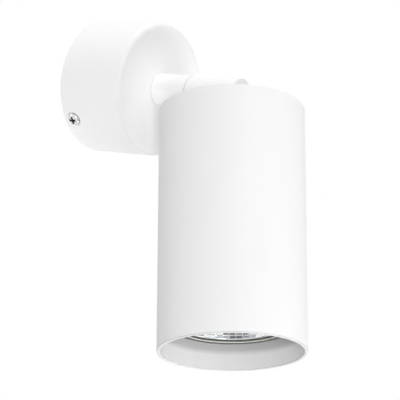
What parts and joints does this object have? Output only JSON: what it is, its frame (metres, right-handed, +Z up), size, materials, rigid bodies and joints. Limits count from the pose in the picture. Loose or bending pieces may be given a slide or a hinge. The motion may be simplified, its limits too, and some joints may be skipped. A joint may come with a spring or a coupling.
{
  "type": "wall spotlight",
  "caption": "White wall spotlight: round canopy, short swivelling arm and a tilting tube head with a reflector lamp set back in its open mouth.",
  "frame": {"origin": "centre of the wall plate's back face, on the wall plane", "axes": "+Y into the wall, so the arm runs out along -Y; +Z up; +X to the right for a person facing the wall"},
  "size_m": [0.06, 0.1297, 0.1424],
  "materials": {
    "white_coat": "matte",
    "white_aluminium": "matte",
    "chrome_screw": "polished",
    "plated_steel": "satin",
    "nylon": "satin",
    "bush_rubber": "matte",
    "block_plastic": "satin",
    "contact_brass": "satin",
    "brown_insulation": "satin",
    "blue_insulation": "satin",
    "earth_insulation": "satin",
    "glass_fibre": "matte",
    "holder_ceramic": "matte",
    "base_ceramic": "matte",
    "reflector_glass": "polished",
    "clear_glass": "polished",
    "quartz_glass": "polished",
    "pin_metal": "satin"
  },
  "bodies": {
    "wall_base": {"canopy": "white_coat", "canopy_screws": "chrome_screw", "wall_plate": "plated_steel", "cable_bush": "bush_rubber", "terminal_block": "block_plastic", "terminal_clamps": "contact_brass", "terminal_screws": "plated_steel", "block_screw": "plated_steel", "earth_tag": "contact_brass", "earth_screw": "plated_steel", "earth_lead": "earth_insulation", "live_lead": "brown_insulation", "neutral_lead": "blue_insulation", "stem": "white_coat", "stem_washer": "plated_steel", "stem_nut": "plated_steel"},
    "outer_arm": {"knuckle": "white_coat", "swivel_tube": "plated_steel", "friction_washer": "nylon", "spring_washer": "plated_steel", "swivel_nuts": "plated_steel", "stop_pin": "plated_steel", "pivot_pins": "white_coat", "pivot_washers": "nylon", "arm_sleeve": "glass_fibre"},
    "head": {"head_tube": "white_aluminium", "head_cap": "white_aluminium", "tilt_bracket": "white_coat", "holder_strap": "plated_steel", "cap_screws": "plated_steel", "lamp_holder": "holder_ceramic", "holder_contacts": "contact_brass", "holder_screws": "plated_steel", "head_sleeve": "glass_fibre", "head_earth_tag": "contact_brass", "head_earth_screw": "plated_steel", "head_earth_lead": "earth_insulation", "head_live_lead": "brown_insulation", "head_neutral_lead": "blue_insulation"},
    "lamp": {"lamp_reflector": "reflector_glass", "lamp_glass": "clear_glass", "lamp_base": "base_ceramic", "lamp_pins": "pin_metal", "lamp_capsule": "quartz_glass"}
  },
  "joints": [
    {"name": "arm_swivel", "type": "hinge", "parent": "wall_base", "child": "outer_arm", "pos_m": [0, -0.0699, 0], "axis": [0, -1, 0], "range_deg": [-165, 165]},
    {"name": "head_tilt", "type": "hinge", "parent": "outer_arm", "child": "head", "pos_m": [0, -0.0699, 0], "axis": [-1, 0, 0], "range_deg": [-16.4, 73.6]},
    {"name": "lamp_twist", "type": "hinge", "parent": "head", "child": "lamp", "pos_m": [0, -0.0699, 0], "axis": [0, -0.2823, -0.9593], "range_deg": [0, 25]}
  ]
}
